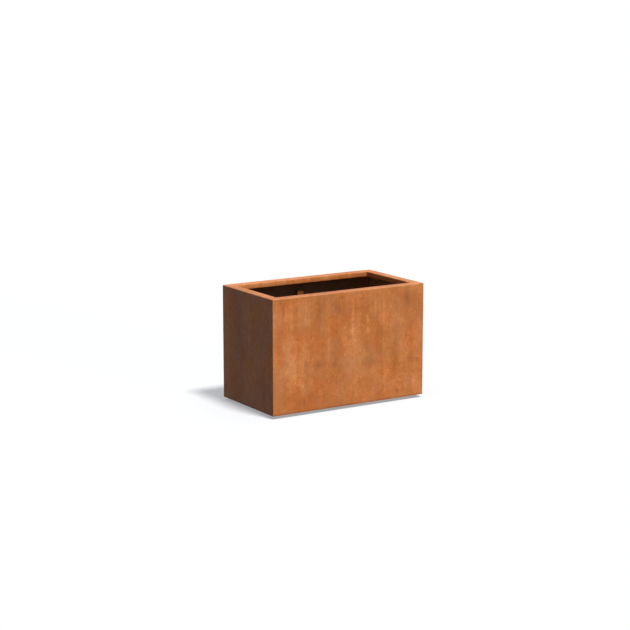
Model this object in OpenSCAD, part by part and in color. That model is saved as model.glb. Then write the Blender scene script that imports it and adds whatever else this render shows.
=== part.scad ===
// Planter box in weathering steel: four folded walls, a floor tray, wall stiffeners and levelling feet.
// Millimetres. +X along the length, +Y to the back, +Z up.
// The origin is on the ground, under the centre of the box.

/* [Box] */
// Length of the box, left to right
box_l = 900; // [700:10:1600]
// Width of the box, front to back
box_w = 500; // [420:10:900]
// Height of the rim above the ground
overall_h = 600; // [400:10:1000]
// Gap between the ground and the lower edge of the walls
ground_gap = 16; // [14:1:20]
// Thickness of the steel sheet
sheet_t = 3; // [2:0.5:4]

/* [Rim] */
// Width of the flange folded inward round the top
rim_w = 50; // [30:1:80]
// Height of the lip turned down at the inner edge of the flange
lip_h = 25; // [12:1:40]
// Radius of the ground outer corners, seen from above
corner_r = 3; // [1:0.5:3]

/* [Floor] */
// Height of the top of the floor above the lower edge of the walls
floor_rise = 44; // [42:1:60]
// Height of the turned-down edge's lower end above the lower edge of the walls
tray_skirt_rise = 4; // [2:1:8]
// Diameter of a drain hole
drain_d = 20; // [10:1:30]
// Distance between neighbouring drain holes along the length
drain_pitch_x = 225; // [150:5:225]
// Distance between the two rows of drain holes
drain_pitch_y = 240; // [120:5:250]

/* [Stiffeners] */
// Distance from the rim down to the top of a stiffener
stiffener_drop = 65; // [60:5:150]
// Width of a stiffener
stiffener_w = 35; // [30:1:60]
// How far a stiffener stands off its wall
stiffener_d = 25; // [15:1:30]

/* [Feet] */
// Distance from the centre of a foot to the end of the box
foot_inset_x = 100; // [80:5:150]
// Distance from the centre of a foot to the front or back of the box
foot_inset_y = 100; // [80:5:150]
// Diameter of the rubber pad
pad_d = 50; // [36:1:60]
// Width of the channel that carries two feet
channel_w = 40; // [36:1:50]

/* [Hidden] */
$fn = 48;
eps = 1;                                  // overrun of a cutting solid

half_l = box_l / 2;
half_w = box_w / 2;
fold_r = sheet_t + 1;                     // outer radius of a fold
fold_in = fold_r - sheet_t;               // inner radius of a fold
wall_z0 = ground_gap;                     // lower edge of the walls
inner_x = half_l - sheet_t;               // inner face of an end wall
inner_y = half_w - sheet_t;               // inner face of a front or back wall

floor_z = wall_z0 + floor_rise;           // top of the floor
plate_z = floor_z - sheet_t;              // underside of the floor
skirt_z = wall_z0 + tray_skirt_rise;      // lower end of the tray's turned-down edge

stiffener_z = overall_h - stiffener_drop; // top of a stiffener

foot_x = half_l - foot_inset_x;
foot_y = half_w - foot_inset_y;
pad_t = 3;
plate_t = 5;
plate_r = pad_d / 2 - 1;
swivel_r = 4;                             // spigot of the screw, turning in the plate
swivel_gap = 0.08;
swivel_lift = 1;                          // the spigot's clearance above the pad
screw_r = 5;
screw_af = 17;
screw_head_h = 5;
screw_seat_z = pad_t + plate_t;           // the head rests on the plate
foot_wind_in = 6;                         // how far a foot winds in from where it is drawn
screw_top = plate_z - foot_wind_in - 1.5; // stays under the floor when the foot is wound in
nut_gap = 0.08;                           // radial clearance between thread and nut
lock_nut_h = 5;
weld_nut_h = 8;
web_z = wall_z0 + 9;                      // underside of the channel's web
web_hole_r = 6;

channel_l = box_w - 4 * sheet_t - 2 * fold_in;  // ends where the tray's folds begin
weld_leg = 4;                             // leg of a fillet bead
weld_root = 2.5;                          // depth of a floor bead in the groove over the tray's fold
weld_top = overall_h - 10;                // corner beads stop short of the rim
stitch_l = 40;                            // length of a stitch bead
feet = [["fl", -1, -1], ["fr", 1, -1], ["bl", -1, 1], ["br", 1, 1]];

rust = [0.73, 0.44, 0.25];
dark_rust = [0.36, 0.22, 0.14];
bead = [0.42, 0.30, 0.24];
zinc = [0.72, 0.73, 0.74];
black_rubber = [0.09, 0.09, 0.09];

// ---- Folded sheet ----

// Quarter ring of a fold centred at c; sx and sy choose the quarter.
module fold(c, sx, sy) {
    translate(c)
        intersection() {
            difference() {
                circle(fold_r);
                circle(fold_in);
            }
            translate([sx < 0 ? -fold_r : 0, sy < 0 ? -fold_r : 0]) square(fold_r);
        }
}

// Section of a wall: x runs inward from the outer face, y is the height.
module wall_section() {
    translate([0, wall_z0]) square([sheet_t, overall_h - fold_r - wall_z0]);
    fold([fold_r, overall_h - fold_r], -1, 1);
    translate([fold_r, overall_h - sheet_t]) square([rim_w - 2 * fold_r, sheet_t]);
    fold([rim_w - fold_r, overall_h - fold_r], 1, 1);
    translate([rim_w - sheet_t, overall_h - lip_h]) square([sheet_t, lip_h - fold_r]);
}

// Section of an open channel w wide and h high: the web's outer face lies on y = 0, the legs point up.
module channel_section(w, h) {
    translate([fold_r - w / 2, 0]) square([w - 2 * fold_r, sheet_t]);
    for (side = [-1, 1]) {
        fold([side * (w / 2 - fold_r), fold_r], side, -1);
        translate([side > 0 ? w / 2 - sheet_t : -w / 2, fold_r]) square([sheet_t, h - fold_r]);
    }
}

// Section of an angle: one leg along x, one leg up y, both from the outer corner at the origin.
module angle_section(leg_x, leg_y) {
    translate([fold_r, 0]) square([leg_x - fold_r, sheet_t]);
    fold([fold_r, fold_r], -1, -1);
    translate([0, fold_r]) square([sheet_t, leg_y - fold_r]);
}

// Side of a box l by w along +X, outer face towards -Y, its section cut to 45 degree mitres.
module mitred_side(l, w, depth) {
    intersection() {
        translate([-l / 2, -w / 2, 0])
            rotate([90, 0, 90])
                linear_extrude(l) children();
        linear_extrude(overall_h + eps)
            polygon([
                [-l / 2, -w / 2], [l / 2, -w / 2],
                [l / 2 - depth, -w / 2 + depth], [-l / 2 + depth, -w / 2 + depth]
            ]);
    }
}

// Upright post over the plan of the box with its ground corners.
module plan_post(l, w) {
    for (size = [[l, w - 2 * corner_r], [l - 2 * corner_r, w]])
        translate([-size[0] / 2, -size[1] / 2, 0]) cube([size[0], size[1], overall_h + eps]);
    for (sx = [-1, 1], sy = [-1, 1])
        translate([sx * (l / 2 - corner_r), sy * (w / 2 - corner_r), 0])
            cylinder(r = corner_r, h = overall_h + eps);
}

module wall(l, w) {
    intersection() {
        mitred_side(l, w, rim_w + eps) wall_section();
        plan_post(l, w);
    }
}

module front_wall() { color(rust) wall(box_l, box_w); }

module back_wall() { color(rust) rotate(180) wall(box_l, box_w); }

module left_end_wall() { color(rust) rotate(-90) wall(box_w, box_l); }

module right_end_wall() { color(rust) rotate(90) wall(box_w, box_l); }

// ---- Floor ----

// Section of the tray's edge: x runs inward from the skirt's outer face, y is the height.
module skirt_section() {
    translate([0, skirt_z]) square([sheet_t, floor_z - fold_r - skirt_z]);
    fold([fold_r, floor_z - fold_r], -1, 1);
}

module base_tray() {
    color(dark_rust)
        difference() {
            union() {
                translate([fold_r - inner_x, fold_r - inner_y, plate_z])
                    cube([2 * (inner_x - fold_r), 2 * (inner_y - fold_r), sheet_t]);
                for (turn = [0, 180]) {
                    rotate(turn)
                        mitred_side(2 * inner_x, 2 * inner_y, fold_r) skirt_section();
                    rotate(turn + 90)
                        mitred_side(2 * inner_y, 2 * inner_x, fold_r) skirt_section();
                }
            }
            for (i = [-1, 0, 1], j = [-1, 1])
                translate([i * drain_pitch_x, j * drain_pitch_y / 2, plate_z - eps])
                    cylinder(d = drain_d, h = sheet_t + 2 * eps);
        }
}

// Open-topped channel across the width, welded under the floor.
module foot_channel(side) {
    color(dark_rust)
        translate([side * foot_x, 0, 0])
            difference() {
                translate([0, channel_l / 2, web_z])
                    rotate([90, 0, 0])
                        linear_extrude(channel_l) channel_section(channel_w, plate_z - web_z);
                for (j = [-1, 1])
                    translate([0, j * foot_y, web_z - eps])
                        cylinder(r = web_hole_r, h = sheet_t + 2 * eps);
            }
}

// ---- Stiffeners ----

// Upright channel on the inside of the front or back wall, open towards the wall, with a cap set in its top.
module stiffener(side) {
    color(rust)
        rotate(side < 0 ? 180 : 0)
            translate([0, inner_y - stiffener_d, 0]) {
                translate([0, 0, floor_z])
                    linear_extrude(stiffener_z - floor_z)
                        channel_section(stiffener_w, stiffener_d);
                translate([sheet_t - stiffener_w / 2, sheet_t, stiffener_z - sheet_t])
                    cube([stiffener_w - 2 * sheet_t, stiffener_d - sheet_t, sheet_t]);
            }
}

// ---- Weld beads ----

// Upright fillet in a corner: legs along +X and +Y.
module upright_bead(h) { linear_extrude(h) polygon([[0, 0], [weld_leg, 0], [0, weld_leg]]); }

module corner_welds() {
    color(bead)
        for (sx = [-1, 1], sy = [-1, 1])
            translate([sx * inner_x, sy * inner_y, floor_z])
                scale([-sx, -sy, 1]) upright_bead(weld_top - floor_z);
}

// Stitch bead on the floor, along a wall that lies towards -Y of it, rooted in the fold's groove.
module floor_stitch() {
    translate([-stitch_l / 2, 0, 0])
        rotate([90, 0, 90])
            linear_extrude(stitch_l) {
                polygon([[0, 0], [weld_leg, 0], [0, weld_leg]]);
                difference() {
                    translate([0, -weld_root]) square([fold_r, weld_root]);
                    translate([fold_r, -fold_r]) circle(fold_r);
                }
            }
}

module tray_welds() {
    long_pitch = (2 * inner_x - 4 * stitch_l) / 4;
    short_pitch = (2 * inner_y - 4 * stitch_l) / 2;
    color(bead)
        translate([0, 0, floor_z])
            for (turn = [0, 180]) {
                rotate(turn)
                    for (i = [-2, -1, 1, 2])
                        translate([i * long_pitch, -inner_y, 0]) floor_stitch();
                rotate(turn + 90)
                    for (i = [-1:1]) translate([i * short_pitch, -inner_x, 0]) floor_stitch();
            }
}

// Upright stitch beads on both sides of each stiffener and a bead along its foot.
module stiffener_welds() {
    first_z = floor_z + stitch_l / 2;
    last_z = stiffener_z - 1.5 * stitch_l;
    foot_l = stiffener_w - 2 * fold_r;
    color(bead)
        for (turn = [0, 180])
            rotate(turn) {
                for (sx = [-1, 1], z = [first_z, (first_z + last_z) / 2, last_z])
                    translate([sx * stiffener_w / 2, -inner_y, z])
                        scale([sx, 1, 1])
                            linear_extrude(stitch_l)
                                polygon([[0, 0], [sheet_t, 0], [0, sheet_t]]);
                translate([-foot_l / 2, stiffener_d - inner_y, floor_z])
                    rotate([90, 0, 90])
                        linear_extrude(foot_l)
                            polygon([[0, 0], [sheet_t, 0], [0, sheet_t]]);
            }
}

// Stitch beads along both sides of each channel, under the floor.
module channel_welds() {
    color(bead)
        for (side = [-1, 1], sx = [-1, 1], j = [-1, 0, 1])
            translate([side * foot_x + sx * channel_w / 2, j * foot_y - stitch_l / 2, plate_z])
                scale([sx, 1, -1])
                    translate([0, stitch_l, 0])
                        rotate([90, 0, 0])
                            linear_extrude(stitch_l)
                                polygon([[0, 0], [sheet_t, 0], [0, sheet_t]]);
}

// ---- Levelling feet ----

module hexagon(af, h) { cylinder(d = af / cos(30), h = h, $fn = 6); }

// Hexagon nut with its own clearance round the thread.
module nut(af, h, r) {
    difference() {
        hexagon(af, h);
        translate([0, 0, -eps]) cylinder(r = r + nut_gap, h = h + 2 * eps);
    }
}

module foot_screw(at) {
    color(zinc)
        translate([at[1] * foot_x, at[2] * foot_y, 0]) {
            translate([0, 0, pad_t + swivel_lift])
                cylinder(r = swivel_r, h = screw_seat_z - pad_t - swivel_lift);
            translate([0, 0, screw_seat_z]) hexagon(screw_af, screw_head_h);
            translate([0, 0, screw_seat_z + screw_head_h])
                cylinder(r = screw_r, h = screw_top - screw_seat_z - screw_head_h);
        }
}

module foot_plate(at) {
    color(zinc)
        translate([at[1] * foot_x, at[2] * foot_y, pad_t])
            difference() {
                cylinder(r = plate_r, h = plate_t);
                translate([0, 0, -eps]) cylinder(r = swivel_r + swivel_gap, h = plate_t + 2 * eps);
            }
}

module foot_pad(at) {
    color(black_rubber)
        translate([at[1] * foot_x, at[2] * foot_y, 0])
            cylinder(d = pad_d, h = pad_t);
}

module foot_nuts(z, h) {
    color(zinc)
        for (at = feet)
            translate([at[1] * foot_x, at[2] * foot_y, z]) nut(screw_af, h, screw_r);
}

module foot_weld_nuts() { foot_nuts(web_z + sheet_t, weld_nut_h); }

module foot_lock_nuts() { foot_nuts(web_z - lock_nut_h, lock_nut_h); }

// ---- Assembly ----

front_wall();
back_wall();
left_end_wall();
right_end_wall();
base_tray();
foot_channel(-1);  // foot_channel_left
foot_channel(1);  // foot_channel_right
stiffener(-1);  // stiffener_front
stiffener(1);  // stiffener_back
corner_welds();
tray_welds();
stiffener_welds();
channel_welds();
foot_weld_nuts();
foot_lock_nuts();
for (at = feet) {
    foot_screw(at);
    foot_plate(at);
    foot_pad(at);
}
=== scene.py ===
"""Looks of the weathering-steel planter box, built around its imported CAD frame. Metres, +Z up."""

import math

import bmesh
import bpy
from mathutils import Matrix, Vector


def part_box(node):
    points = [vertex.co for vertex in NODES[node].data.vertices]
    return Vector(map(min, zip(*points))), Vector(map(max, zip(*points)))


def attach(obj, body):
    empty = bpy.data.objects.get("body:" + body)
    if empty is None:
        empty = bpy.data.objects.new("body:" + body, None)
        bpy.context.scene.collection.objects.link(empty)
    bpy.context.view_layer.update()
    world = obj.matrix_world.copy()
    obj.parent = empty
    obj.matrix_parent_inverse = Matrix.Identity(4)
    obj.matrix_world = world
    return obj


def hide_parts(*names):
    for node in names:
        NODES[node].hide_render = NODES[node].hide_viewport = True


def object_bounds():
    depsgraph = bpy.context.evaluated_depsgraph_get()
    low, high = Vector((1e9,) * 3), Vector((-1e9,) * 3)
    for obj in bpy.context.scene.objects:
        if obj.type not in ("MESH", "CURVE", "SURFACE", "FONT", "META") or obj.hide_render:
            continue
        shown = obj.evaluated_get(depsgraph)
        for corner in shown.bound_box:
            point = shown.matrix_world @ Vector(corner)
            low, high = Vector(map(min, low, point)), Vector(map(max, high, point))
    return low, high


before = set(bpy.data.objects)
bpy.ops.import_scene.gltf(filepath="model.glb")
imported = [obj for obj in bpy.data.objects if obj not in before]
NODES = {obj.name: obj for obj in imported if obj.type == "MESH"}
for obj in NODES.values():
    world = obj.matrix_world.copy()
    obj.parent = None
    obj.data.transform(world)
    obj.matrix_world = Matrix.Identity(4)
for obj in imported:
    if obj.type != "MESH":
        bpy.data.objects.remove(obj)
CAD_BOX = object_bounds()

LO, HI = CAD_BOX
CENTRE = (LO + HI) / 2
HALF_X, HALF_Y, TOP = HI.x, HI.y, HI.z
FRONT_LO, FRONT_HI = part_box("front_wall")
WALL_FOOT = FRONT_LO.z
RIM = FRONT_HI.y - FRONT_LO.y
SHEET = 0.003  # thickness of the wall sheet
STITCH = 0.040  # length of one weld stitch
FLOOR_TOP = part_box("base_tray")[1].z
FEET = ("fl", "fr", "bl", "br")
TAU = math.tau


def direction(azimuth, elevation):
    """Unit vector from the object towards a viewer or a lamp; azimuth 0 is the front, 90 the right end."""
    a, e = math.radians(azimuth), math.radians(elevation)
    return Vector((math.sin(a) * math.cos(e), -math.cos(a) * math.cos(e), math.sin(e)))


# ---- Camera ----

VIEW_AZIMUTH, VIEW_ELEVATION = -32.08, 10.995
VIEW_DISTANCE = 8.854
LENS_MM, SENSOR_MM = 98.44, 36.0
AIM_RIGHT, AIM_UP = -0.0431, 0.1353


def make_camera():
    back = direction(VIEW_AZIMUTH, VIEW_ELEVATION)
    turn = (-back).to_track_quat("-Z", "Y")
    right, up = turn @ Vector((1, 0, 0)), turn @ Vector((0, 1, 0))
    data = bpy.data.cameras.new("camera")
    data.lens, data.sensor_width = LENS_MM, SENSOR_MM
    data.clip_start, data.clip_end = 0.1, 2000.0
    camera = bpy.data.objects.new("camera", data)
    camera.rotation_mode = "QUATERNION"
    camera.rotation_quaternion = turn
    camera.location = CENTRE + right * AIM_RIGHT + up * AIM_UP + back * VIEW_DISTANCE
    bpy.context.scene.collection.objects.link(camera)
    bpy.context.scene.camera = camera


# ---- Light and ground ----

# name: azimuth, elevation, irradiance on a surface square to it, apparent size in degrees
LAMPS = {
    "key": (11, 66, 3.23, 10.8),
    "front_fill": (12, 2.2, 1.39, 4),
    "top": (0, 90, 0.94, 70),
    "under_fill": (0, -90, 1.2, 8),
}
AMBIENT = 0.054
BACKDROP = 1.0
FLOOR_SIZE = 1200.0
FLOOR_GREY = 0.53
FLOOR_GLOW = 0.335
FLOOR_GLOW_COLOUR = (0.92, 0.955, 1.02)


def make_lamps():
    for name, (azimuth, elevation, strength, size) in LAMPS.items():
        data = bpy.data.lights.new(name, "SUN")
        data.energy = strength
        data.angle = math.radians(size)
        lamp = bpy.data.objects.new(name, data)
        lamp.rotation_mode = "QUATERNION"
        lamp.rotation_quaternion = direction(azimuth, elevation).to_track_quat("Z", "Y")
        bpy.context.scene.collection.objects.link(lamp)


def make_world():
    """White all round, but dimmer where it lights matt surfaces."""
    world = bpy.data.worlds.new("studio")
    world.use_nodes = True
    nodes, links = world.node_tree.nodes, world.node_tree.links
    nodes.clear()
    out = nodes.new("ShaderNodeOutputWorld")
    soft, seen = nodes.new("ShaderNodeBackground"), nodes.new("ShaderNodeBackground")
    soft.inputs["Strength"].default_value = AMBIENT
    seen.inputs["Strength"].default_value = BACKDROP
    soft.inputs["Color"].default_value = seen.inputs["Color"].default_value = (1, 1, 1, 1)
    path, mix = nodes.new("ShaderNodeLightPath"), nodes.new("ShaderNodeMixShader")
    links.new(path.outputs["Is Diffuse Ray"], mix.inputs["Fac"])
    links.new(seen.outputs[0], mix.inputs[1])
    links.new(soft.outputs[0], mix.inputs[2])
    links.new(mix.outputs[0], out.inputs["Surface"])
    bpy.context.scene.world = world


def make_floor():
    """A pale floor that is solid from above and clear from below, so that the underside can be seen."""
    half = FLOOR_SIZE / 2
    mesh = bpy.data.meshes.new("floor")
    corners = [(-half, -half, 0), (half, -half, 0), (half, half, 0), (-half, half, 0)]
    mesh.from_pydata(corners, [], [(0, 1, 2, 3)])
    floor = bpy.data.objects.new("floor", mesh)
    floor.location.z = LO.z
    floor.visible_diffuse = False
    floor.visible_shadow = False
    material = bpy.data.materials.new("floor")
    material.use_nodes = True
    nodes, links = material.node_tree.nodes, material.node_tree.links
    shader = nodes["Principled BSDF"]
    shader.inputs["Base Color"].default_value = (FLOOR_GREY, FLOOR_GREY, FLOOR_GREY, 1)
    shader.inputs["Roughness"].default_value = 0.9
    shader.inputs["Specular IOR Level"].default_value = 0.0
    shader.inputs["Emission Color"].default_value = (*FLOOR_GLOW_COLOUR, 1)
    shader.inputs["Emission Strength"].default_value = FLOOR_GLOW
    side = nodes.new("ShaderNodeNewGeometry")
    clear, mix = nodes.new("ShaderNodeBsdfTransparent"), nodes.new("ShaderNodeMixShader")
    links.new(side.outputs["Backfacing"], mix.inputs["Fac"])
    links.new(shader.outputs[0], mix.inputs[1])
    links.new(clear.outputs[0], mix.inputs[2])
    links.new(mix.outputs[0], nodes["Material Output"].inputs["Surface"])
    mesh.materials.append(material)
    bpy.context.scene.collection.objects.link(floor)


# ---- Material nodes ----


class Graph:
    """Short calls that add one material's nodes. An input may be a socket, a number or a tuple."""

    def __init__(self, name):
        self.material = bpy.data.materials.new(name)
        self.material.use_nodes = True
        self.tree = self.material.node_tree
        self.shader = self.tree.nodes["Principled BSDF"]
        self.place = self.add("ShaderNodeTexCoord").outputs["Object"]
        split = self.add("ShaderNodeSeparateXYZ")
        self.feed(split.inputs[0], self.place)
        self.x, self.y, self.z = split.outputs

    def add(self, kind, **settings):
        node = self.tree.nodes.new(kind)
        for key, value in settings.items():
            setattr(node, key, value)
        return node

    def feed(self, socket, value):
        if isinstance(value, bpy.types.NodeSocket):
            self.tree.links.new(value, socket)
        else:
            socket.default_value = value

    def math(self, operation, *values):
        node = self.add("ShaderNodeMath", operation=operation)
        for socket, value in zip(node.inputs, values):
            self.feed(socket, value)
        return node.outputs[0]

    def vector(self, operation, *values):
        node = self.add("ShaderNodeVectorMath", operation=operation)
        for socket, value in zip(node.inputs, values):
            self.feed(socket, value)
        return node.outputs["Value" if operation == "LENGTH" else "Vector"]

    def combine(self, x, y, z):
        node = self.add("ShaderNodeCombineXYZ")
        for socket, value in zip(node.inputs, (x, y, z)):
            self.feed(socket, value)
        return node.outputs[0]

    def total(self, *values):
        result = values[0]
        for value in values[1:]:
            result = self.math("ADD", result, value)
        return result

    def remap(self, value, low, high, to_low=0.0, to_high=1.0, smooth=False):
        kind = "SMOOTHSTEP" if smooth else "LINEAR"
        node = self.add("ShaderNodeMapRange", interpolation_type=kind)
        for socket, item in zip(node.inputs, (value, low, high, to_low, to_high)):
            self.feed(socket, item)
        return node.outputs[0]

    def noise(self, scale, detail=3.0, roughness=0.5, stretch=(1, 1, 1), shift=(0, 0, 0), place=None):
        """Noise around 0.5, scale in cells per metre; shift moves it to an unrelated part of the pattern."""
        node = self.add("ShaderNodeTexNoise")
        moved = self.vector("MULTIPLY_ADD", place or self.place, stretch, shift)
        self.feed(node.inputs["Vector"], moved)
        self.feed(node.inputs["Scale"], scale)
        self.feed(node.inputs["Detail"], detail)
        self.feed(node.inputs["Roughness"], roughness)
        return node.outputs["Fac"]

    def specks(self, scale, size, share, stretch=(1, 1, 1), shift=(0, 0, 0)):
        """Soft dots, 1 in their middle: scale cells per metre, of which a share holds a dot."""
        node = self.add("ShaderNodeTexVoronoi")
        self.feed(node.inputs["Vector"], self.vector("MULTIPLY_ADD", self.place, stretch, shift))
        self.feed(node.inputs["Scale"], scale)
        dot = self.remap(node.outputs["Distance"], 0.35 * size, size, 1, 0, smooth=True)
        chance = self.add("ShaderNodeSeparateXYZ")
        self.feed(chance.inputs[0], node.outputs["Color"])
        return self.math("MULTIPLY", dot, self.math("LESS_THAN", chance.outputs[0], share))

    def ramp(self, value, *stops):
        node = self.add("ShaderNodeValToRGB")
        elements = node.color_ramp.elements
        while len(elements) < len(stops):
            elements.new(1.0)
        for element, (position, colour) in zip(elements, stops):
            element.position = position
            element.color = (*colour, 1)
        self.feed(node.inputs[0], value)
        return node.outputs["Color"]

    def mix(self, factor, a, b):
        node = self.add("ShaderNodeMix", data_type="RGBA")
        self.feed(node.inputs["Factor"], factor)
        for socket, value in ((node.inputs[6], a), (node.inputs[7], b)):
            self.feed(socket, (*value, 1) if isinstance(value, tuple) else value)
        return node.outputs[2]

    def bump(self, height, depth, normal=None):
        """Relief of the given depth in metres for a height field from 0 to 1."""
        node = self.add("ShaderNodeBump")
        self.feed(node.inputs["Height"], height)
        self.feed(node.inputs["Distance"], depth)
        self.feed(node.inputs["Strength"], 1.0)
        if normal is not None:
            self.feed(node.inputs["Normal"], normal)
        return node.outputs[0]

    def finish(self, colour, roughness, normal, specular=0.5, metallic=0.0):
        self.feed(self.shader.inputs["Base Color"], colour)
        self.feed(self.shader.inputs["Roughness"], roughness)
        self.feed(self.shader.inputs["Normal"], normal)
        self.feed(self.shader.inputs["Specular IOR Level"], specular)
        self.feed(self.shader.inputs["Metallic"], metallic)
        return self.material


# ---- Rust ----

# Patina tones from dark to light, as linear colours: a redder and a more olive family.
RED_TONES = ((0.0, (0.250, 0.058, 0.010)), (0.5, (0.498, 0.129, 0.019)), (1.0, (0.780, 0.290, 0.094)))
OLIVE_TONES = ((0.0, (0.220, 0.072, 0.014)), (0.5, (0.455, 0.143, 0.026)), (1.0, (0.700, 0.292, 0.098)))
# Painted shade: the inner tones for the walls under the rim, the darker deep tones for lower down and for
# pieces in the box's shade.
INNER_SHADE_TONES = ((0.0, (0.190, 0.105, 0.062)), (0.5, (0.330, 0.200, 0.120)), (1.0, (0.480, 0.300, 0.190)))
DEEP_SHADE_TONES = ((0.0, (0.085, 0.045, 0.025)), (0.5, (0.160, 0.090, 0.050)), (1.0, (0.270, 0.155, 0.085)))
# Edge colour: wear together with a painted highlight on the outer upright and upper edges.
EDGE_WEAR_AND_HIGHLIGHT_COLOUR = (0.52, 0.235, 0.11)
# Painted sheen: a dull pale veil for the reflection of the white surroundings on the outer faces other than
# the front, thinner on the rim.
SHEEN_COLOUR, WALL_SHEEN, RIM_SHEEN = (0.40, 0.26, 0.20), 0.29, 0.17
FILM_COLOUR, FILM_SHARE = (0.57, 0.285, 0.135), 0.29
RUST_SPECULAR = 0.32

DRAIN_X, DRAIN_Y = 0.225, 0.120
CORNER_MARK_X = 0.405
CORNER_MARK_CORE, CORNER_MARK_REACH = 0.004, 0.022
CORNER_MARK_SHARE = 0.75
CORNER_MARK_COLOUR = (0.52, 0.19, 0.05)
RUST_RELIEF, WELD_RELIEF, ZINC_RELIEF, RUBBER_RELIEF = 0.0006, 0.0003, 0.00008, 0.00015

# Stains of the front face: centre x, centre z, half width, half height, tone (light above 0, dark below).
FRONT_STAINS = (
    (0.017, 0.470, 0.010, 0.080, 0.22),
    (0.016, 0.410, 0.016, 0.035, 0.16),
    (0.107, 0.460, 0.007, 0.020, 0.20),
    (0.110, 0.385, 0.008, 0.025, 0.20),
    (-0.183, 0.490, 0.012, 0.080, -0.16),
    (-0.390, 0.545, 0.008, 0.030, -0.26),
    (-0.076, 0.520, 0.022, 0.045, -0.22),
    (-0.082, 0.340, 0.030, 0.100, -0.20),
    (-0.090, 0.240, 0.011, 0.018, -0.32),
    (-0.180, 0.250, 0.035, 0.025, -0.22),
    (-0.255, 0.235, 0.014, 0.040, -0.22),
    (-0.305, 0.330, 0.010, 0.030, -0.14),
    (-0.270, 0.066, 0.007, 0.016, -0.26),
    (0.118, 0.230, 0.045, 0.028, -0.26),
    (0.270, 0.235, 0.022, 0.090, -0.24),
    (0.355, 0.540, 0.050, 0.045, -0.24),
    (0.376, 0.210, 0.016, 0.020, -0.20),
    (0.290, 0.050, 0.012, 0.014, -0.26),
    (0.173, 0.055, 0.020, 0.012, -0.20),
    (-0.330, 0.270, 0.060, 0.150, 0.12),
    (0.005, 0.310, 0.035, 0.070, 0.12),
    (0.330, 0.090, 0.080, 0.050, 0.08),
)
# The same for the left face, by centre y and z.
LEFT_STAINS = (
    (0.085, 0.330, 0.050, 0.400, -0.16),
    (0.000, 0.330, 0.045, 0.300, 0.12),
    (-0.150, 0.150, 0.060, 0.120, -0.10),
)


def stains(graph, across, spots):
    """Sum of soft oval stains on an upright face, by the distance across it and the height."""
    at = graph.combine(across, graph.z, 0.0)
    wander = graph.vector("MULTIPLY_ADD", graph.uneven, (0.022, 0.06, 0), (-0.011, -0.03, 0))
    at = graph.vector("ADD", at, wander)
    tone = 0.0
    for u, v, half_u, half_v, amount in spots:
        offset = graph.vector("MULTIPLY_ADD", at, (1 / half_u, 1 / half_v, 0), (-u / half_u, -v / half_v, 0))
        reach = graph.vector("LENGTH", offset)
        tone = graph.math("ADD", tone, graph.remap(reach, 0.3, 1.6, amount, 0.0, smooth=True))
    return tone


def face_mask(graph, axis, limit):
    """1 on the outer face that lies below the limit along an axis."""
    return graph.math("LESS_THAN", axis, limit)


def edge_wear_and_highlight(graph, size=0.005):
    """1 on the outer upright and upper edges of the box, which are worn lighter and carry a painted
    highlight, falling to 0 over a distance of size.
    """
    a = graph.math("SUBTRACT", graph.math("ABSOLUTE", graph.x), HALF_X)
    b = graph.math("SUBTRACT", graph.math("ABSOLUTE", graph.y), HALF_Y)
    c = graph.math("SUBTRACT", graph.z, TOP)
    low = graph.math("MINIMUM", a, b)
    high = graph.math("MAXIMUM", a, b)
    middle = graph.math("MAXIMUM", low, graph.math("MINIMUM", high, c))
    return graph.remap(middle, -size, -0.2 * size, smooth=True)


def inner_shade_mask(graph):
    """1 on the faces that look into the box, below the rim and behind its lip, where the inner painted shade
    goes.
    """
    x, y = graph.math("ABSOLUTE", graph.x), graph.math("ABSOLUTE", graph.y)
    within = graph.math("MULTIPLY", graph.math("LESS_THAN", x, HALF_X - SHEET / 2),
                        graph.math("LESS_THAN", y, HALF_Y - SHEET / 2))
    below = graph.math("LESS_THAN", graph.z, TOP - SHEET / 2)
    past_lip = graph.math("MAXIMUM", graph.math("SUBTRACT", x, HALF_X - RIM),
                          graph.math("SUBTRACT", y, HALF_Y - RIM))
    behind = graph.math("GREATER_THAN", past_lip, 0.15 * SHEET)
    return graph.math("MULTIPLY", graph.math("MULTIPLY", within, below), behind)


def sheen_and_film(graph, colour, front):
    """Painted sheen on the outer faces other than the front and, thinner, on the rim: a dull pale veil that
    stands for the reflection of the white surroundings; patches of pale film on the front.
    """
    side = graph.math("MAXIMUM", graph.math("SUBTRACT", graph.math("ABSOLUTE", graph.x), HALF_X),
                      graph.math("SUBTRACT", graph.y, HALF_Y))
    outer = graph.math("GREATER_THAN", side, -SHEET / 2)
    top = graph.math("GREATER_THAN", graph.z, TOP - SHEET / 2)
    on_wall = graph.math("MULTIPLY", outer, WALL_SHEEN)
    on_rim = graph.math("MULTIPLY", top, RIM_SHEEN)
    share = graph.math("MAXIMUM", on_wall, on_rim)
    field = graph.noise(11.0, 5, 0.65, stretch=(1, 1, 0.6), shift=(4, 9, 2))
    share = graph.math("MULTIPLY", share, graph.remap(field, 0.35, 0.65, 0.45, 1.55))
    # Painted sheen on every outer face but the front.
    dust = graph.math("MULTIPLY", share, graph.math("SUBTRACT", 1.0, front))
    film = graph.math("MULTIPLY", front, graph.remap(field, 0.42, 0.70, 0.0, FILM_SHARE))
    return graph.mix(film, graph.mix(dust, colour, SHEEN_COLOUR), FILM_COLOUR)


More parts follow.
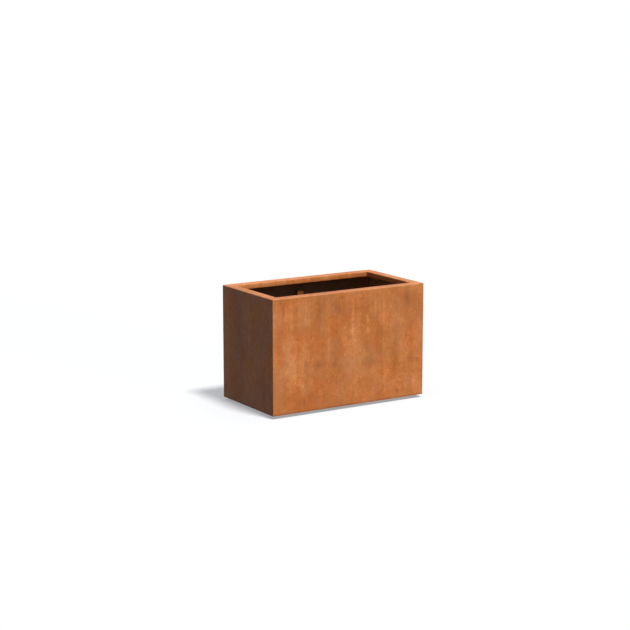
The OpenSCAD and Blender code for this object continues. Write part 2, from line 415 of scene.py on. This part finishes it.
def rust(name, walls=False, shade_share=None):
    """Weathering-steel patina: clouds, run-off streaks, mottling, grain, pits and pale specks.
    On walls it adds painted shade inside the box, a painted sheen on the outer faces but the front, and
    painted highlights on the edges and the back and right ends. The last argument gives the share of painted
    shade, in the dark inner tones, on a piece that is not a wall."""
    graph = Graph(name)
    uneven = graph.add("ShaderNodeTexNoise")
    graph.feed(uneven.inputs["Vector"], graph.place)
    graph.feed(uneven.inputs["Scale"], 14.0)
    graph.uneven = uneven.outputs["Color"]
    clouds = graph.noise(5.0, 4, 0.55)
    streaks = graph.noise(1.0, 3, 0.55, stretch=(38, 38, 1.6))
    threads = graph.noise(1.0, 3, 0.55, stretch=(120, 120, 6), shift=(7, 3, 1))
    mottle = graph.noise(30.0, 5, 0.62)
    blotches = graph.noise(55.0, 2, 0.5, shift=(1, 6, 3))
    grain = graph.noise(330.0, 4, 0.6)
    pale = graph.specks(75, 0.34, 0.20, stretch=(1, 1, 0.7), shift=(0.3, 0.7, 0.2))
    dark = graph.specks(60, 0.32, 0.18, stretch=(1, 1, 0.6), shift=(2.3, 1.7, 4.2))
    pits = graph.specks(420, 0.42, 0.22)
    run = graph.math("MULTIPLY", graph.remap(graph.z, 0.10, 0.50, 0.45, 1.0),
                     graph.remap(graph.x, -HALF_X, -HALF_X + 0.01, 0.5, 1.0))

    def part(field, weight):
        return graph.math("MULTIPLY", graph.math("SUBTRACT", field, 0.5), weight)

    tone = graph.total(
        0.5,
        part(graph.noise(2.6, 2, 0.5, shift=(3, 1, 6)), 0.42),
        part(clouds, 0.60),
        graph.math("MULTIPLY", part(streaks, 0.50), run),
        part(threads, 0.08),
        part(mottle, 0.60),
        part(blotches, 0.25),
        part(grain, 0.55),
        graph.math("MULTIPLY", pale, 0.30),
        graph.math("MULTIPLY", dark, -0.26),
        graph.math("MULTIPLY", pits, -0.14),
    )
    hue = graph.total(0.5, part(graph.noise(16.0, 4, 0.65, stretch=(1, 1, 0.6), shift=(5, 2, 8)), 2.4),
                      part(graph.noise(4.5, 2, 0.5, shift=(8, 5, 1)), 1.8))
    hue = graph.remap(hue, 0.0, 1.0)
    if walls:
        broken = graph.remap(mottle, 0.35, 0.65, 0.35, 1.25)
        front = face_mask(graph, graph.y, -HALF_Y + 1.5 * SHEET)
        left = face_mask(graph, graph.x, -HALF_X + 1.5 * SHEET)
        front_marks = graph.math("MULTIPLY", stains(graph, graph.x, FRONT_STAINS), front)
        front_marks = graph.math("MULTIPLY", front_marks, broken)
        left_marks = graph.math("MULTIPLY", stains(graph, graph.y, LEFT_STAINS), left)
        tone = graph.total(
            tone,
            front_marks,
            left_marks,
            # Painted shade: darker towards the foot of the walls, over their lowest 11 mm, next to the floor.
            graph.remap(graph.z, WALL_FOOT + 0.003, WALL_FOOT + 0.011, -0.30, 0.0),
            # Painted highlight: tone lifted over the back and right ends of the box, which lightens the back
            # and right rim flanges.
            graph.remap(graph.y, HALF_Y - 1.5 * RIM, HALF_Y - RIM, 0.0, 0.18),
            graph.remap(graph.x, HALF_X - 1.5 * RIM, HALF_X - RIM, 0.0, 0.11),
        )
        gain = graph.remap(left, 0.0, 1.0, 1.0, 1.45)
        tone = graph.math("ADD", 0.5, graph.math("MULTIPLY", graph.math("SUBTRACT", tone, 0.5), gain))
    outside = graph.mix(hue, graph.ramp(tone, *RED_TONES), graph.ramp(tone, *OLIVE_TONES))
    if walls:
        # Painted sheen on the outer faces other than the front, and pale film on the front.
        outside = sheen_and_film(graph, outside, front)
        # Worn edges with a painted highlight along them.
        worn_and_lit = graph.math("MULTIPLY", edge_wear_and_highlight(graph), graph.remap(mottle, 0.35, 0.6, 0.25, 0.85))
        outside = graph.mix(worn_and_lit, outside, EDGE_WEAR_AND_HIGHLIGHT_COLOUR)
        # Painted shade inside the box: inner tones under the rim, darkening to the deep tones lower down,
        # with a lighter reddish strip down the inner back wall near the right end.
        depth = graph.remap(graph.z, 0.42, 0.50, smooth=True)
        shaded = graph.mix(depth, graph.ramp(tone, *DEEP_SHADE_TONES), graph.ramp(tone, *INNER_SHADE_TONES))
        behind = graph.math("GREATER_THAN", graph.y, 0.0)
        off_mark = graph.math("ABSOLUTE", graph.math("SUBTRACT", graph.x, CORNER_MARK_X))
        mark = graph.remap(off_mark, CORNER_MARK_CORE, CORNER_MARK_REACH, CORNER_MARK_SHARE, 0.0, smooth=True)
        shaded = graph.mix(graph.math("MULTIPLY", behind, mark), shaded, CORNER_MARK_COLOUR)
        colour = graph.mix(inner_shade_mask(graph), outside, shaded)
    else:
        colour = graph.mix(shade_share(graph), outside, graph.ramp(tone, *DEEP_SHADE_TONES))
    rough = graph.remap(graph.total(part(mottle, 1.0), part(grain, 0.6)), -0.3, 0.3, 0.56, 0.82)
    relief = graph.total(graph.math("MULTIPLY", grain, 0.55), graph.math("MULTIPLY", mottle, 0.8),
                         graph.math("MULTIPLY", pits, -0.5), graph.math("MULTIPLY", pale, 0.25))
    return graph.finish(colour, rough, graph.bump(relief, RUST_RELIEF), RUST_SPECULAR)


def shade_with_drain_run_off(graph):
    """Painted shade in the deep tones over the tray, giving way to orange run-off round each drain hole."""
    x = graph.math("ABSOLUTE", graph.x)
    dx = graph.math("MINIMUM", x, graph.math("ABSOLUTE", graph.math("SUBTRACT", x, DRAIN_X)))
    dy = graph.math("SUBTRACT", graph.math("ABSOLUTE", graph.y), DRAIN_Y)
    reach = graph.vector("LENGTH", graph.combine(dx, dy, 0.0))
    return graph.remap(reach, 0.012, 0.045, 0.45, 0.92, smooth=True)


def shaded_stiffener_top(graph):
    """Orange patina with painted shade that darkens the upper end of a stiffener, where the rim's shadow
    falls.
    """
    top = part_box("stiffener_back")[1].z
    return graph.remap(graph.z, top - 0.014, top + 0.001, 0.10, 1.0)


def weld_metal():
    graph = Graph("weld_bead")
    patches = graph.noise(45.0, 4, 0.6)
    grain = graph.noise(600.0, 3, 0.6)
    tone = graph.total(patches, graph.math("MULTIPLY", graph.math("SUBTRACT", grain, 0.5), 0.5))
    tones = ((0.3, (0.075, 0.040, 0.028)), (0.5, (0.190, 0.085, 0.045)), (0.72, (0.34, 0.13, 0.05)))
    colour = graph.ramp(tone, *tones)
    rough = graph.remap(patches, 0.35, 0.65, 0.45, 0.75)
    return graph.finish(colour, rough, graph.bump(grain, WELD_RELIEF), 0.5)


def zinc():
    """Dull zinc plating: grey crystals, a few smears and spots of rust."""
    graph = Graph("zinc_fastener")
    crystals = graph.noise(160.0, 2, 0.5)
    smear = graph.noise(60.0, 4, 0.6, shift=(3, 1, 2))
    rusty = graph.remap(graph.noise(75.0, 4, 0.7, shift=(8, 4, 6)), 0.60, 0.70, 0, 0.8, smooth=True)
    plated = graph.ramp(graph.total(crystals, graph.math("MULTIPLY", smear, 0.4)),
                        (0.45, (0.40, 0.41, 0.42)), (0.70, (0.52, 0.53, 0.54)), (0.95, (0.66, 0.67, 0.68)))
    colour = graph.mix(rusty, plated, (0.26, 0.085, 0.025))
    rough = graph.total(graph.remap(smear, 0.3, 0.7, 0.30, 0.48), graph.math("MULTIPLY", rusty, 0.35))
    metallic = graph.remap(rusty, 0, 0.8, 1.0, 0.1)
    return graph.finish(colour, rough, graph.bump(graph.noise(900.0, 3, 0.6), ZINC_RELIEF), 0.5, metallic)


def rubber():
    graph = Graph("foot_rubber")
    dust = graph.noise(90.0, 5, 0.65)
    grain = graph.noise(1400.0, 2, 0.5)
    tones = ((0.35, (0.012, 0.012, 0.012)), (0.58, (0.022, 0.021, 0.020)), (0.75, (0.060, 0.052, 0.045)))
    colour = graph.ramp(dust, *tones)
    rough = graph.remap(dust, 0.3, 0.7, 0.60, 0.85)
    return graph.finish(colour, rough, graph.bump(grain, RUBBER_RELIEF), 0.4)


# ---- Detailed pieces ----


def piece(name, mesh_data, material, body, replaced):
    """Turns a finished bmesh into a piece that stands for one CAD node."""
    bmesh.ops.recalc_face_normals(mesh_data, faces=mesh_data.faces)
    mesh = bpy.data.meshes.new(name)
    mesh_data.to_mesh(mesh)
    mesh_data.free()
    mesh.shade_smooth()
    mesh.set_sharp_from_angle(angle=math.radians(32))
    mesh.materials.append(material)
    made = bpy.data.objects.new(name, mesh)
    bpy.context.scene.collection.objects.link(made)
    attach(made, body)
    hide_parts(replaced)


def turned(shape, centre, rings, sides=48, closed=False):
    """Solid turned about an upright axis. A ring is (radius, height), or a function of the angle that
    gives them; radius 0 at either end closes it, and closed=True joins the last ring to the first."""
    made = []
    for ring in rings:
        at = ring if callable(ring) else (lambda angle, fixed=ring: fixed)
        if at(0.0)[0] == 0:
            made.append([shape.verts.new((centre.x, centre.y, at(0.0)[1]))])
            continue
        verts = []
        for i in range(sides):
            angle = TAU * i / sides
            radius, height = at(angle)
            verts.append(shape.verts.new((centre.x + radius * math.cos(angle),
                                          centre.y + radius * math.sin(angle), height)))
        made.append(verts)
    pairs = list(zip(made, made[1:]))
    if closed:
        pairs.append((made[-1], made[0]))
    for lower, upper in pairs:
        for i in range(sides):
            j = (i + 1) % sides
            if len(lower) == 1:
                shape.faces.new((lower[0], upper[j], upper[i]))
            elif len(upper) == 1:
                shape.faces.new((lower[i], lower[j], upper[0]))
            else:
                shape.faces.new((lower[i], lower[j], upper[j], upper[i]))


CHAMFER_SLOPE = math.tan(math.radians(30))
FACE_SHARE = 0.94  # radius of a hexagon's round end face over half its width across flats


def hexagon(across_flats, height, rise=0):
    """Ring round a hexagon. Its corners are turned away by a 30 degree chamfer: downwards from the height
    for rise -1, upwards for rise 1."""
    flat = across_flats / 2

    def ring(angle):
        radius = flat / math.cos(angle % (TAU / 6) - TAU / 12)
        return radius, height + rise * (radius - FACE_SHARE * flat) * CHAMFER_SLOPE

    return ring


def hex_block(across_flats, low, high):
    """Rings of a hexagon from its lower to its upper face, chamfered at both."""
    face = FACE_SHARE * across_flats / 2
    return [(face, low), hexagon(across_flats, low, 1), hexagon(across_flats, high, -1), (face, high)]


def thread(radius, pitch, low, high):
    """Rings of a right-hand thread between two heights, easing to its root at both ends."""
    depth = 0.6 * pitch
    count = round((high - low) / pitch * 6)
    rings = []
    for i in range(count + 1):
        z = low + (high - low) * i / count
        ease = max(0.0, 1 - min(z - low, high - z) / (0.8 * pitch))

        def ring(angle, z=z, ease=ease):
            turn = (z / pitch - angle / TAU) % 1.0
            groove = max(1 - abs(2 * turn - 1), ease)
            return radius - depth * min(1.0, max(0.0, 1.25 * groove - 0.15)), z

        rings.append(ring)
    return rings


def nut_rings(across_flats, bore, low, high):
    chamfer = 0.0006
    return hex_block(across_flats, low, high) + [
        (bore + chamfer, high), (bore, high - chamfer), (bore, low + chamfer), (bore + chamfer, low)]


def islands(node):
    """Centres of a CAD node's separate solids, in plan, found from its loose parts."""
    shape = bmesh.new()
    shape.from_mesh(NODES[node].data)
    bmesh.ops.remove_doubles(shape, verts=shape.verts, dist=1e-6)
    left = set(shape.verts)
    centres = []
    while left:
        stack = [left.pop()]
        found = list(stack)
        while stack:
            for edge in stack.pop().link_edges:
                for vert in edge.verts:
                    if vert in left:
                        left.remove(vert)
                        found.append(vert)
                        stack.append(vert)
        low = Vector([min(v.co[k] for v in found) for k in range(3)])
        high = Vector([max(v.co[k] for v in found) for k in range(3)])
        centres.append((low + high) / 2)
    shape.free()
    return sorted(centres, key=lambda c: (round(c.x, 4), round(c.y, 4), round(c.z, 4)))


SCREW_AF, SCREW_R, SCREW_PITCH = 0.017, 0.005, 0.0015
CLEARANCE = 0.00008


def make_nuts(metal):
    for node in ("foot_weld_nuts", "foot_lock_nuts"):
        low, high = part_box(node)
        shape = bmesh.new()
        for centre in islands(node):
            turned(shape, centre, nut_rings(SCREW_AF, SCREW_R + CLEARANCE, low.z, high.z), closed=True)
        piece(node + "_chamfered", shape, metal, "planter_box", node)


def make_foot(name, metal, black):
    pad_low, pad_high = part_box("foot_pad_" + name)
    plate_low, plate_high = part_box("foot_plate_" + name)
    screw_low, screw_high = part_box("foot_screw_" + name)
    centre = (pad_low + pad_high) / 2
    spigot, spigot_round = 0.004, 0.0004
    head_low, head_high = plate_high.z, plate_high.z + 0.005

    shape = bmesh.new()
    rings = [(0, screw_low.z), (spigot - spigot_round, screw_low.z), (spigot, screw_low.z + spigot_round)]
    rings += [(spigot, head_low)] + hex_block(SCREW_AF, head_low, head_high)
    rings += [(SCREW_R, head_high), (SCREW_R, head_high + 0.0015)]
    rings += thread(SCREW_R, SCREW_PITCH, head_high + 0.0017, screw_high.z) + [(0, screw_high.z)]
    turned(shape, centre, rings)
    made = f"foot_screw_{name}_threaded"
    piece(made, shape, metal, "foot_spindle_" + name, "foot_screw_" + name)

    outer, bore, hub = (plate_high.x - plate_low.x) / 2, spigot + CLEARANCE, 0.0103
    low, high = plate_low.z, plate_high.z
    shape = bmesh.new()
    turned(shape, centre, [
        (bore + 0.0004, low), (outer - 0.0006, low), (outer, low + 0.0006), (outer, low + 0.0018),
        (outer - 0.0008, low + 0.0024), (hub + 0.0025, low + 0.0030), (hub + 0.0008, low + 0.0036),
        (hub, high - 0.0005), (hub - 0.0005, high), (bore + 0.0004, high), (bore, high - 0.0004),
        (bore, low + 0.0004)], sides=72, closed=True)
    made = f"foot_plate_{name}_pressed"
    piece(made, shape, metal, "foot_base_" + name, "foot_plate_" + name)

    outer, low, high = (pad_high.x - pad_low.x) / 2, pad_low.z, pad_high.z
    groove, land, slope = 0.0008, 0.0030, 0.0004
    rings = [(0, low + groove)]
    for i in range(1, 4):
        start = i * outer / 4.2
        rings += [(start - slope, low + groove), (start, low)]
        rings += [(start + land, low), (start + land + slope, low + groove)]
    rings = rings[:-1] + [(outer - 0.0012, low), (outer - 0.0003, low + 0.0005), (outer, low + 0.0012),
                          (outer, high - 0.0007), (outer - 0.0007, high), (0, high)]
    shape = bmesh.new()
    turned(shape, centre, rings, sides=72)
    made = f"foot_pad_{name}_grooved"
    piece(made, shape, black, "foot_base_" + name, "foot_pad_" + name)


RIPPLE = 0.0045
RINGS_PER_RIPPLE = 6
ACROSS = 6  # faces across a bead
TRAY_BEAD_ROOT = 0.0024
FOOT_BEAD_SHORTER = 0.008  # how much shorter a stiffener's foot bead is than the stiffener is wide


def bead(shape, start, along, length, side_a, side_b, leg, root=0.0):
    """Rippled fillet bead from start along a line, with its legs along side_a and side_b.
    root sinks its back edge below side_b's origin."""
    count = round(length / RIPPLE * RINGS_PER_RIPPLE)
    rings = []
    for i in range(count + 1):
        s = length * i / count
        end = min(1.0, 0.45 + 0.55 * math.sqrt(min(s, length - s) / leg))
        ring = [shape.verts.new(start + along * s - side_b * root * end)]
        for j in range(ACROSS + 1):
            turn = math.pi / 2 * j / ACROSS
            phase = s / RIPPLE + 0.45 * math.sin(2 * turn)
            swell = 0.86 + 0.12 * abs(math.cos(math.pi * phase)) + 0.02 * math.sin(s * 311)
            reach = leg * end * swell
            ring.append(shape.verts.new(start + along * s + side_a * reach * math.cos(turn) ** 1.5
                                        + side_b * reach * math.sin(turn) ** 1.5))
        rings.append(ring)
    for near, far in zip(rings, rings[1:]):
        for j in range(len(near)):
            k = (j + 1) % len(near)
            shape.faces.new((near[j], near[k], far[k], far[j]))
    shape.faces.new(rings[0])
    shape.faces.new(rings[-1])


def make_beads(metal):
    x_axis, y_axis, z_axis = Vector((1, 0, 0)), Vector((0, 1, 0)), Vector((0, 0, 1))
    low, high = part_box("corner_welds")
    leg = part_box("tray_welds")[1].z - FLOOR_TOP
    shape = bmesh.new()
    for sx in (-1, 1):
        for sy in (-1, 1):
            start = Vector((sx * high.x, sy * high.y, low.z))
            bead(shape, start, z_axis, high.z - low.z, x_axis * -sx, y_axis * -sy, leg)
    piece("corner_welds_rippled", shape, metal, "planter_box", "corner_welds")

    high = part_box("tray_welds")[1]
    shape = bmesh.new()
    for centre in islands("tray_welds"):
        along_x = abs(centre.y) > high.y - leg
        if along_x:
            inward = y_axis * -math.copysign(1, centre.y)
            start = Vector((centre.x - STITCH / 2, math.copysign(high.y, centre.y), FLOOR_TOP))
        else:
            inward = x_axis * -math.copysign(1, centre.x)
            start = Vector((math.copysign(high.x, centre.x), centre.y - STITCH / 2, FLOOR_TOP))
        bead(shape, start, x_axis if along_x else y_axis, STITCH, inward, z_axis, leg, root=TRAY_BEAD_ROOT)
    piece("tray_welds_rippled", shape, metal, "planter_box", "tray_welds")

    wall_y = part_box("stiffener_welds")[1].y
    post_low, post_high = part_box("stiffener_back")
    shape = bmesh.new()
    for centre in islands("stiffener_welds"):
        sy = math.copysign(1, centre.y)
        if abs(centre.x) < SHEET:
            length = post_high.x - post_low.x - FOOT_BEAD_SHORTER
            start = Vector((-length / 2, sy * post_low.y, FLOOR_TOP))
            bead(shape, start, x_axis, length, y_axis * -sy, z_axis, SHEET)
        else:
            sx = math.copysign(1, centre.x)
            start = Vector((sx * post_high.x, sy * wall_y, centre.z - STITCH / 2))
            bead(shape, start, z_axis, STITCH, x_axis * sx, y_axis * -sy, SHEET)
    piece("stiffener_welds_rippled", shape, metal, "planter_box", "stiffener_welds")

    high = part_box("channel_welds")[1]
    near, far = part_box("foot_channel_right")
    shape = bmesh.new()
    for centre in islands("channel_welds"):
        side = math.copysign(1, centre.x)
        middle = side * (near.x + far.x) / 2
        outward = math.copysign(1, centre.x - middle)
        start = Vector((middle + outward * (far.x - near.x) / 2, centre.y - STITCH / 2, high.z))
        bead(shape, start, y_axis, STITCH, x_axis * outward, -z_axis, SHEET)
    piece("channel_welds_rippled", shape, metal, "planter_box", "channel_welds")


def soften(node, width=0.0004):
    """Small rounds on a CAD piece's cut edges."""
    weld = NODES[node].modifiers.new("weld", "WELD")
    weld.merge_threshold = 1e-5
    bevel = NODES[node].modifiers.new("rounds", "BEVEL")
    bevel.width = width
    bevel.segments = 2
    bevel.limit_method = "ANGLE"
    bevel.angle_limit = math.radians(40)
    bevel.harden_normals = True


def paint(material, *nodes):
    for node in nodes:
        NODES[node].data.materials.clear()
        NODES[node].data.materials.append(material)


make_camera()
make_lamps()
make_world()
make_floor()
bpy.context.scene.view_settings.view_transform = "Standard"

paint(rust("rust_walls", walls=True), "front_wall", "back_wall", "left_end_wall", "right_end_wall")
# Painted shade in the deep tones: on the stiffeners' upper ends, over the tray away from its drain holes, and
# over most of the foot channels.
paint(rust("rust_stiffener", shade_share=shaded_stiffener_top), "stiffener_front", "stiffener_back")
paint(rust("rust_tray", shade_share=shade_with_drain_run_off), "base_tray")
# Painted shade in the deep tones over most of each foot channel, under the box.
paint(rust("rust_channel", shade_share=lambda graph: 0.8), "foot_channel_left", "foot_channel_right")
ZINC, RUBBER = zinc(), rubber()
make_beads(weld_metal())
make_nuts(ZINC)
for foot in FEET:
    make_foot(foot, ZINC, RUBBER)
for softened in ("stiffener_front", "stiffener_back", "foot_channel_left", "foot_channel_right"):
    soften(softened)
